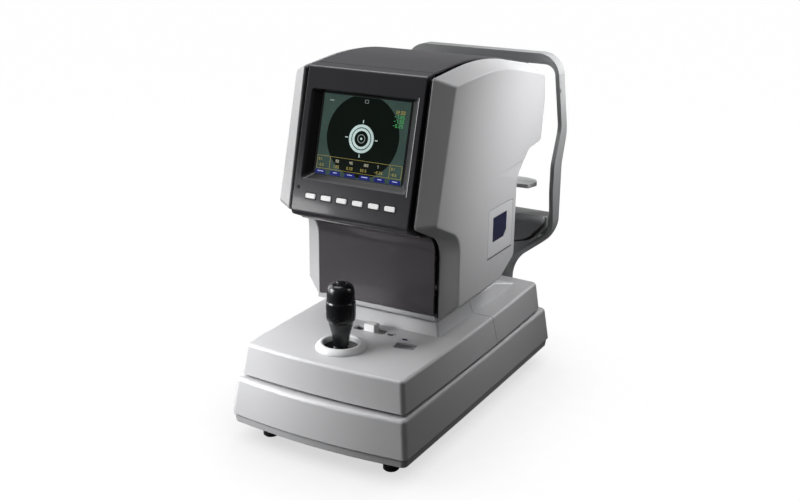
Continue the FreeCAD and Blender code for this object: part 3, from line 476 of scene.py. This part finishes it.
def paint_recess_shade(place):
    """Paint shade on the screen bezel's walls inside the recess, between its rim and the display: near black,
    darker the deeper in.
    """
    fade = 0.0002
    recess_half_width = 0.077
    recess_half_height = 0.062
    rim_depth = 0.0012
    full_shade_depth = 0.0035
    middle = place(0, RECESS_MIDDLE_UP, BEZEL_FACE)
    outward = -joint_axis("key_1_press")
    upward = Vector((0, outward.z, -outward.y))
    shader = plastic_shader("bezel_plastic_recess_shade", CHARCOAL, **CHARCOAL_MOULD)
    split = []
    for axis in (Vector((1, 0, 0)), upward, outward):
        dot = shader.add("ShaderNodeVectorMath", operation="DOT_PRODUCT")
        shader.link(shader.coordinates, dot.inputs[0])
        dot.inputs[1].default_value = axis
        split.append(shader.math("SUBTRACT", dot.outputs["Value"], axis.dot(middle)))
    across, up, out = split
    inside = []
    for distance, limit in ((across, recess_half_width), (up, recess_half_height)):
        size = shader.math("ABSOLUTE", distance, 0)
        inside.append(shader.remap(size, limit + fade, limit - fade))
    # Painted shade: the recess walls turn near black with depth below the rim.
    deep = shader.remap(out, -rim_depth, -full_shade_depth, 0.0, 0.9)
    recess_shade = shader.math("MULTIPLY", shader.math("MULTIPLY", *inside), deep)
    shader.tint(recess_shade, (0.004, 0.004, 0.005))
    bezel = frame["nodes"]["screen_bezel"]
    bezel.data.materials.clear()
    bezel.data.materials.append(shader.done())


def front_face_place():
    """Maps (across, up the slope, outwards) in mm to the tilted front of keys and display."""
    inward = joint_axis("key_1_press")
    outward = -inward
    upward = Vector((0, -inward.z, inward.y))
    low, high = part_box("display_panel")
    size_y = high.y - low.y
    size_z = high.z - low.z
    slope_height = size_z * upward.z - size_y * upward.y
    length = slope_height / (upward.z ** 2 - upward.y ** 2)
    bottom_edge = Vector((0, low.y, high.z - length * upward.z))

    def place(across, up, out):
        along = Vector((across * MM, 0, 0)) + upward * (up * MM)
        return bottom_edge + along + outward * (out * MM)
    return place


SEGMENTS = {
    "0": "abcdef", "1": "bc", "2": "abged", "3": "abgcd", "4": "fgbc", "5": "afgcd",
    "6": "afgedc", "7": "abc", "8": "abcdefg", "9": "abfgcd", "-": "g",
}


def digit_bars(character, x, y, height):
    """Outlines of a seven-bar digit whose lower left corner is at (x, y)."""
    width = height * 0.55
    t = height * 0.15
    half = height / 2
    bars = {
        "a": (x, x + width, y + height - t, y + height),
        "b": (x + width - t, x + width, y + half, y + height),
        "c": (x + width - t, x + width, y, y + half),
        "d": (x, x + width, y, y + t),
        "e": (x, x + t, y, y + half),
        "f": (x, x + t, y + half, y + height),
        "g": (x, x + width, y + half - t / 2, y + half + t / 2),
    }
    return [bars[name] for name in SEGMENTS[character]]


def write_number(piece, text, x, y, height, material):
    """Seven-bar digits from left to right; a point takes less room than a digit."""
    pen = x
    dot = height * 0.16
    for character in text:
        if character == ".":
            boxes = [(pen, pen + dot, y, y + dot)]
            advance = 0.34
        else:
            boxes = digit_bars(character, pen, y, height)
            advance = 0.78
        for box in boxes:
            piece.prism(corner_box(*box), MARK_OUT, MARK_OUT + BAR_THICKNESS, material)
        pen += height * advance


def corner_box(x0, x1, y0, y1):
    return [(x0, y0), (x1, y0), (x1, y1), (x0, y1)]


def clipped_circle(x, y, radius, top, steps=96):
    return [(px, min(py, top)) for px, py in circle(x, y, radius, steps)]


# Distances on the tilted front, in mm: across, up from the display's lower edge, and out from it.
BEZEL_FACE = 10.05
RECESS_MIDDLE_UP = 49.0
KEY_ROW_UP = -26.0
SCREEN_HALF = 63.4
SCREEN_LOW = 2.4
SCREEN_HIGH = 103.2
PICTURE_HALF = 60.5
PICTURE_HIGH = 101.5
MARK_OUT = 0.24
MARK_TOP = 0.34
BAR_THICKNESS = 0.08


def make_screen_picture(place):
    """What the display shows: an eye's dark pupil field, the mire ring, and plain readouts."""
    piece = Piece("screen_picture", place)
    glass = corner_box(-SCREEN_HALF, SCREEN_HALF, SCREEN_LOW, SCREEN_HIGH)
    picture = corner_box(-PICTURE_HALF, PICTURE_HALF, SCREEN_LOW, PICTURE_HIGH)
    piece.prism(glass, 0.01, 0.04, FINISHES["black_gloss"])
    piece.prism(picture, 0.05, 0.10, GLOW["haze"])
    middle_y = SCREEN_LOW + 52
    pupil = clipped_circle(0, middle_y, 50.5, PICTURE_HIGH - 0.3)
    piece.prism(pupil, 0.12, 0.20, GLOW["pupil"])
    x = -1.2
    y = middle_y - 2.9
    for outer, inner, light in ((17.3, 13.9, "mire"), (12.7, 9.6, "mire"), (5.4, 4.6, "faint")):
        piece.ring(circle(x, y, outer), circle(x, y, inner), MARK_OUT, MARK_TOP, GLOW[light])
    piece.prism(circle(x, y, 1.4, 20), MARK_OUT, MARK_TOP, GLOW["mire"])
    tick_radius = 20.8
    for dx, dy in ((0, 1), (1, 0), (0, -1), (-1, 0)):
        tick_x = x + dx * tick_radius
        tick_y = y + dy * tick_radius
        wide, tall = (0.6, 1.9) if dx == 0 else (1.9, 0.6)
        tick = corner_box(tick_x - wide, tick_x + wide, tick_y - tall, tick_y + tall)
        piece.prism(tick, MARK_OUT, MARK_TOP, GLOW["mire"])
    mark = rounded_box(-2.6, 2.6, 94.5, 98.5, 0.5)
    mark_hole = rounded_box(-2.1, 2.1, 95, 98, 0.4)
    piece.ring(mark, mark_hole, MARK_OUT, MARK_OUT + BAR_THICKNESS, GLOW["faint"])
    make_readouts(piece)
    make_icon_row(piece)
    piece.done("head", "screen_glass")


def make_readouts(piece):
    right = PICTURE_HALF - 20
    write_number(piece, "12.00", right, 86, 4.2, GLOW["amber"])
    for row, text in enumerate(("-7.85", "-7.90", "-0.25")):
        write_number(piece, text, right - 0.5 * row, 80.6 - 5.3 * row, 4.2, GLOW["green"])
    piece.prism(corner_box(-52, -46, 93, 94.4), MARK_OUT, MARK_OUT + BAR_THICKNESS, GLOW["faint"])
    band_low = 9.5
    band_high = 25.5
    edge = PICTURE_HALF - 0.8
    outer = corner_box(-edge, edge, band_low, band_high)
    inner = corner_box(-edge + 0.4, edge - 0.4, band_low + 0.4, band_high - 0.4)
    piece.ring(outer, inner, MARK_OUT, MARK_TOP, GLOW["amber"])
    for x in (-41, 43):
        divider = corner_box(x - 0.25, x + 0.25, band_low, band_high)
        piece.prism(divider, MARK_OUT, MARK_OUT + BAR_THICKNESS, GLOW["amber"])
    for x in (-57.5, 45):
        write_number(piece, "01", x, 19.2, 3.2, GLOW["amber"])
        write_number(piece, "-0.5", x, 12.4, 3.2, GLOW["amber"])
    rows = (("90", "1.25"), ("45", "0.50"), ("180", "62.5"), ("7", "-2.25"))
    for index, numbers in enumerate(rows):
        x = -35 + 19.5 * index
        write_number(piece, numbers[0], x + 2, 19, 3.4, GLOW["label"])
        write_number(piece, numbers[1], x - 1, 12.2, 3.4, GLOW["amber"])


def make_icon_row(piece):
    """Six soft-key tabs along the foot of the picture, each over its key."""
    for index in range(6):
        x = -53 + 21 * index
        tab = [(x - 8, SCREEN_LOW + 0.4), (x + 8, SCREEN_LOW + 0.4), (x + 6.6, 8), (x - 6.6, 8)]
        piece.prism(tab, MARK_OUT, MARK_OUT + BAR_THICKNESS, GLOW["blue"])
        bar_width = (4.2, 2.6, 3.4)[index % 3]
        bar = corner_box(x - bar_width, x + bar_width, 5.6, 6.6)
        piece.prism(bar, MARK_TOP, MARK_TOP + 0.06, GLOW["tab_mark"])


def make_key_frames(place):
    """Thin black frames round the keys, a little proud of the bezel."""
    outline = rounded_box(-8.6, 8.6, -4.7, 4.7, 1.8)
    hole = rounded_box(-7.15, 7.15, -3.2, 3.2, 1.4)
    for number in range(1, 7):
        piece = Piece("key_frame_%d" % number, place)
        shift = key_middle(number).x / MM
        outer = [(u + shift, v + KEY_ROW_UP) for u, v in outline]
        inner = [(u + shift, v + KEY_ROW_UP) for u, v in hole]
        piece.ring(outer, inner, BEZEL_FACE - 0.2, BEZEL_FACE + 0.3, FINISHES["black_plastic"])
        piece.done("head", "black_plastic")


def make_recess_highlight(place):
    """Pale glowing strip on the right-hand wall of the display's recess: a painted highlight where that wall
    catches light.
    """
    highlight_strip = Piece("recess_highlight_strip", place)
    low, high = -9.5, 107.5
    section = ((75.3, 0.45), (71.0, -3.4), (71.0, -3.9), (75.3, -0.2))
    loops = []
    for up in (low, high):
        loops.append([highlight_strip.mesh.verts.new(place(x, up, BEZEL_FACE + deep)) for x, deep in section])
    faces = [highlight_strip.mesh.faces.new(loops[0]), highlight_strip.mesh.faces.new(loops[1][::-1])]
    faces += highlight_strip.walls(loops[0], loops[1])
    highlight_strip.paint(faces, FINISHES["painted_highlight_grey"])
    highlight_strip.done("head", "light_plastic")


def make_light_sensor(place):
    piece = Piece("light_sensor", place)
    x = -75.7
    y = -16.9
    ring_radius = 2.5
    lens_radii = (1.7, 1.6, 1.2, 0.6)
    lens_heights = [BEZEL_FACE + rise for rise in (-0.35, 0.05, 0.35, 0.5)]
    outer = circle(x, y, ring_radius, 28)
    inner = circle(x, y, lens_radii[0], 28)
    piece.ring(outer, inner, BEZEL_FACE - 0.2, BEZEL_FACE + 0.4, FINISHES["black_plastic"])
    lens = [circle(x, y, radius, 28) for radius in lens_radii]
    piece.dome(lens, lens_heights, FINISHES["navy_plastic"])
    piece.done("head", "navy_plastic")


# ---------------------------------------------------------------------------------------------
# Carriage deck: lock marks, power lamp, slot
# ---------------------------------------------------------------------------------------------
def deck_place(u, v, out):
    """Maps (x, y, height above the deck) in mm, y from the middle of the joystick ring."""
    low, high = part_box("joystick_ring")
    return Vector((u * MM, (low.y + high.y) / 2 + v * MM, low.z + out * MM))


def make_lock_marks():
    """A shut and an open padlock and an arrow beside the lever's slot, printed on the deck."""
    piece = Piece("lock_marks", deck_place)
    ink = FINISHES["print_ink"]
    ink_low = 0.01
    ink_high = 0.12
    half_body = 3.4
    y = 66
    shackle_y = y + 1.6
    for x, shackle_x in ((-35, -35), (30, 33.2)):
        body = corner_box(x - half_body, x + half_body, y - half_body, shackle_y)
        piece.prism(body, ink_low, ink_high, ink)
        outer = half_ellipse(shackle_x, shackle_y, 2.6, 3.4)
        inner = half_ellipse(shackle_x, shackle_y, 1.5, 2.2)
        piece.prism(outer + inner[::-1], ink_low, ink_high, ink)
    for x, sign in ((-27.4, -1), (24.4, 1)):
        arrow = [(x, 64), (x + sign * 3, 66.5), (x, 69)]
        piece.prism(arrow[::sign], ink_low, ink_high, ink)
    piece.done("carriage", "black_plastic")


def half_ellipse(x, y, half_width, height):
    turns = [math.pi * i / 10 for i in range(11)]
    return [(x + half_width * math.cos(a), y + height * math.sin(a)) for a in turns]


def make_power_lamp():
    """A dark oval lens that rises out of the deck."""
    piece = Piece("power_lamp", deck_place)
    x = 53
    y = 61
    outlines = []
    for share in (1.0, 1.0, 0.86, 0.55):
        half = 3.9 * share
        tall = 1.9 * share
        outlines.append(rounded_box(x - half, x + half, y - tall, y + tall, 1.85 * share, 6))
    piece.dome(outlines, (-0.6, 0.25, 0.6, 0.75), FINISHES["navy_plastic"])
    piece.done("carriage", "navy_plastic")


# ---------------------------------------------------------------------------------------------
# Headrest: forehead pad, eye marks, tissues
# ---------------------------------------------------------------------------------------------
def squared_off(value, power):
    """A power below 1 fills out the corners of a rounded section."""
    return math.copysign(abs(value) ** power, value)


def make_forehead_pad():
    """Soft crescent pad: thin in the middle, plump at both ends, every edge rolled over."""
    low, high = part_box("forehead_pad")
    middle = (low + high) / 2
    inset = 0.0003
    back_gap = 0.0002
    half_x = (high.x - low.x) / 2 - inset
    half_z = (high.z - low.z) / 2 - inset
    full = high.y - low.y - 2 * back_gap
    mesh = bmesh.new()
    loops = []
    stations = 44
    around = 28
    for i in range(stations + 1):
        u = -math.cos(math.pi * i / stations)
        end_roll = max(1 - abs(u) ** 9, 0.0) ** (1 / 3)
        depth = full * (0.36 + 0.62 * abs(u) ** 1.7) * end_roll
        height = half_z * (0.86 + 0.14 * abs(u) ** 2) * (0.25 + 0.75 * end_roll)
        ring = []
        for j in range(around):
            angle = 2 * math.pi * j / around
            across = squared_off(math.cos(angle), 0.7)
            rise = squared_off(math.sin(angle), 0.55)
            y = low.y + back_gap + depth * (0.5 + 0.5 * across)
            ring.append(mesh.verts.new((middle.x + half_x * u, y, middle.z + height * rise)))
        loops.append(ring)
    for first, second in zip(loops, loops[1:]):
        for j in range(around):
            k = (j + 1) % around
            mesh.faces.new((first[j], first[k], second[k], second[j]))
    mesh.faces.new(loops[0][::-1])
    mesh.faces.new(loops[-1])
    bmesh.ops.remove_doubles(mesh, verts=mesh.verts, dist=1e-6)
    bmesh.ops.recalc_face_normals(mesh, faces=mesh.faces)
    data = bpy.data.meshes.new("forehead_cushion")
    mesh.to_mesh(data)
    mesh.free()
    data.materials.append(FINISHES["silicone"])
    for polygon in data.polygons:
        polygon.use_smooth = True
    pad = bpy.data.objects.new("forehead_cushion", data)
    bpy.context.scene.collection.objects.link(pad)
    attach(pad, "base")
    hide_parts("forehead_pad")


def make_eye_marks():
    """Short dark lines on both pillars at the height where the eye belongs."""
    low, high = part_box("headrest_frame")
    eye_z = 0.403
    front_y = low.y + 0.0074
    half_mark = 3.6
    point = 2.6
    half_point = 1.2
    outline = [(0, -half_mark), (point, -half_point), (point, half_point), (0, half_mark)]

    def place(y, z, out):
        return Vector((high.x + out * MM, front_y + y * MM, eye_z + z * MM))

    def mirrored(y, z, out):
        right = place(y, z, out)
        return Vector((-right.x, right.y, right.z))
    for name, spot in (("eye_mark_right", place), ("eye_mark_left", mirrored)):
        piece = Piece(name, spot)
        piece.prism(outline, 0.0, 0.25, FINISHES["print_ink"])
        piece.done("base", "black_plastic")


def make_tissues():
    """A pad of chin tissues: separate sheets that follow the dish, with slightly uneven edges."""
    low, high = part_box("chin_paper")
    middle = (low + high) / 2
    inset = 0.0006
    slip = 0.0004
    half_x = (high.x - low.x) / 2 - inset
    half_y = (high.y - low.y) / 2 - inset
    rise = high.z - low.z
    sheets = 9
    dish = 0.0029
    pitch = (rise - dish) / sheets
    thick = pitch * 0.72
    mesh = bmesh.new()
    columns = 20
    for sheet in range(sheets):
        shift_x = slip * math.sin(sheet * 2.3)
        shift_y = slip * math.cos(sheet * 1.7)
        base_z = low.z + sheet * pitch
        rings = []
        for i in range(columns + 1):
            u = -1 + 2 * i / columns
            lift = dish * u * u
            x = middle.x + half_x * u + shift_x
            corners = []
            for y, z in ((-half_y, 0), (half_y, 0), (half_y, thick), (-half_y, thick)):
                corners.append(mesh.verts.new((x, middle.y + y + shift_y, base_z + lift + z)))
            rings.append(corners)
        for first, second in zip(rings, rings[1:]):
            for j in range(4):
                k = (j + 1) % 4
                mesh.faces.new((first[j], first[k], second[k], second[j]))
        mesh.faces.new(rings[0][::-1])
        mesh.faces.new(rings[-1])
    bmesh.ops.recalc_face_normals(mesh, faces=mesh.faces)
    data = bpy.data.meshes.new("tissue_sheets")
    mesh.to_mesh(data)
    mesh.free()
    data.materials.append(FINISHES["tissue"])
    pad = bpy.data.objects.new("tissue_sheets", data)
    bpy.context.scene.collection.objects.link(pad)
    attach(pad, "chinrest")
    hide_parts("chin_paper")


# ---------------------------------------------------------------------------------------------
# Side hatch: painted shade in the gap round it
# ---------------------------------------------------------------------------------------------
def make_hatch_gap_shade():
    """Black strip in the groove round the hatch as painted shade, with a wider band along its lower edge as the
    painted shadow that the hatch casts.
    """
    low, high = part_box("hatch_panel")

    def place(y, z, out):
        return Vector((high.x + out * MM, y, z))
    piece = Piece("hatch_gap_shade", place)
    gap = 0.00062
    clearance = 0.00004
    corner_radius = 0.0036
    shadow_overhang = 0.001

    def outline(grow):
        return rounded_box(low.y - grow, high.y + grow, low.z - grow, high.z + grow,
                           corner_radius + grow)
    # Painted shadow: the wider black band under the hatch's lower edge.
    shadow_lip = corner_box(low.y - shadow_overhang, high.y + shadow_overhang, low.z - 0.0022, low.z - 0.0008)
    piece.ring(outline(gap), outline(clearance), -1.5, -0.5, FINISHES["black_rubber"])
    piece.prism(shadow_lip, -0.5, 0.12, FINISHES["black_rubber"])
    piece.done("head", "black_rubber")


# ---------------------------------------------------------------------------------------------
# Stage, lights, camera
# ---------------------------------------------------------------------------------------------
FLOOR_HALF_SIZE = 8
CONTACT_SHADE_REACH = 0.16


def make_floor():
    """Even white floor whose only shade is a soft contact shadow."""
    mesh = bmesh.new()
    bmesh.ops.create_grid(mesh, x_segments=8, y_segments=8, size=FLOOR_HALF_SIZE)
    data = bpy.data.meshes.new("floor")
    mesh.to_mesh(data)
    mesh.free()
    floor = bpy.data.objects.new("floor", data)
    bpy.context.scene.collection.objects.link(floor)
    shader = Shader("floor_white", (0.02, 0.02, 0.02), 0.9, specular=0.0)
    shade = shader.add("ShaderNodeAmbientOcclusion", samples=12)
    shade.inputs["Distance"].default_value = CONTACT_SHADE_REACH
    mottle = shader.remap(shader.noise(40, 3), 0.3, 0.7, 0.0, 0.012)
    light = shader.remap(shade.outputs["AO"], 0.1, 0.95, 0.62, 0.985)
    shader.link(shader.math("ADD", light, mottle), shader.surface.inputs["Emission Strength"])
    shader.surface.inputs["Emission Color"].default_value = (*WHITE, 1)
    data.materials.append(shader.done())
    floor.visible_diffuse = False
    floor.visible_glossy = False


def area_light(name, place, target, size, power, spread=180):
    data = bpy.data.lights.new(name, "AREA")
    data.shape = "RECTANGLE"
    data.size, data.size_y = size
    data.energy = power
    data.spread = math.radians(spread)
    light = bpy.data.objects.new(name, data)
    light.location = place
    light.rotation_euler = (Vector(target) - Vector(place)).to_track_quat("-Z", "Y").to_euler()
    light.visible_camera = False
    bpy.context.scene.collection.objects.link(light)


WORLD_BRIGHT_SIDE = Vector((-0.62, 0.18, 0.76)).normalized()
WORLD_DARK = 0.02
WORLD_BRIGHT = 0.33


def make_world():
    """Dim fill for the object, brighter to the left and above; plain white behind it."""
    world = bpy.data.worlds.new("studio")
    world.use_nodes = True
    tree = world.node_tree
    tree.nodes.clear()
    output = tree.nodes.new("ShaderNodeOutputWorld")
    fill = tree.nodes.new("ShaderNodeBackground")
    white = tree.nodes.new("ShaderNodeBackground")
    mix = tree.nodes.new("ShaderNodeMixShader")
    path = tree.nodes.new("ShaderNodeLightPath")
    coordinates = tree.nodes.new("ShaderNodeTexCoord")
    split = tree.nodes.new("ShaderNodeVectorMath")
    split.operation = "DOT_PRODUCT"
    split.inputs[1].default_value = WORLD_BRIGHT_SIDE
    ramp = tree.nodes.new("ShaderNodeMapRange")
    ramp.interpolation_type = "SMOOTHSTEP"
    ramp.inputs["From Min"].default_value = -0.9
    ramp.inputs["From Max"].default_value = 1.0
    ramp.inputs["To Min"].default_value = WORLD_DARK
    ramp.inputs["To Max"].default_value = WORLD_BRIGHT
    links = tree.links
    links.new(coordinates.outputs["Generated"], split.inputs[0])
    links.new(split.outputs["Value"], ramp.inputs["Value"])
    links.new(ramp.outputs["Result"], fill.inputs["Strength"])
    links.new(path.outputs["Is Camera Ray"], mix.inputs["Fac"])
    links.new(fill.outputs[0], mix.inputs[1])
    links.new(white.outputs[0], mix.inputs[2])
    white.inputs["Color"].default_value = (*WHITE, 1)
    links.new(mix.outputs[0], output.inputs["Surface"])
    bpy.context.scene.world = world


def make_lights():
    make_world()
    area_light("left_softbox", (-1.25, -0.1, 0.6), (0, 0.0, 0.25), (1.4, 1.2), 13)
    area_light("front_left", (-0.32, -0.42, 0.27), (-0.03, -0.2, 0.06), (0.2, 0.2), 0.55, spread=84)
    area_light("rear_right", (0.33, 0.3, 0.66), (0.12, 0.17, 0.42), (0.2, 0.2), 0.4, spread=70)
    area_light("right_panel", (0.66, 0.16, 0.52), (0.12, 0.06, 0.36), (0.25, 0.25), 0.19, spread=46)
    area_light("rear_fill", (0.2, 1.5, 0.42), (0, 0, 0.22), (0.8, 0.6), 5)
    area_light("top", (-0.5, 0.0, 1.7), (0, 0, 0.2), (1.0, 1.0), 12)


def make_camera():
    """Operator's front right, a little above the head, as a long-lens catalogue view."""
    place = Vector((0.6903, -1.2685, 0.6829))
    target = Vector((0.0900, -0.1893, 0.2766))
    roll = math.radians(0.66)
    data = bpy.data.cameras.new("camera")
    data.lens = 50.82
    data.sensor_width = 36
    camera = bpy.data.objects.new("camera", data)
    camera.location = place
    facing = (target - place).to_track_quat("-Z", "Y").to_matrix().to_4x4()
    camera.rotation_euler = (facing @ Matrix.Rotation(roll, 4, "Z")).to_euler()
    bpy.context.scene.collection.objects.link(camera)
    bpy.context.scene.camera = camera


finish_cad_nodes()
front_place = front_face_place()
paint_recess_shade(front_place)
make_screen_picture(front_place)
make_key_frames(front_place)
make_light_sensor(front_place)
make_recess_highlight(front_place)
make_lock_marks()
make_power_lamp()
make_forehead_pad()
make_eye_marks()
make_tissues()
make_hatch_gap_shade()
make_floor()
make_lights()
make_camera()
scene = bpy.context.scene
scene.view_settings.view_transform = "Standard"
scene.view_settings.look = "None"
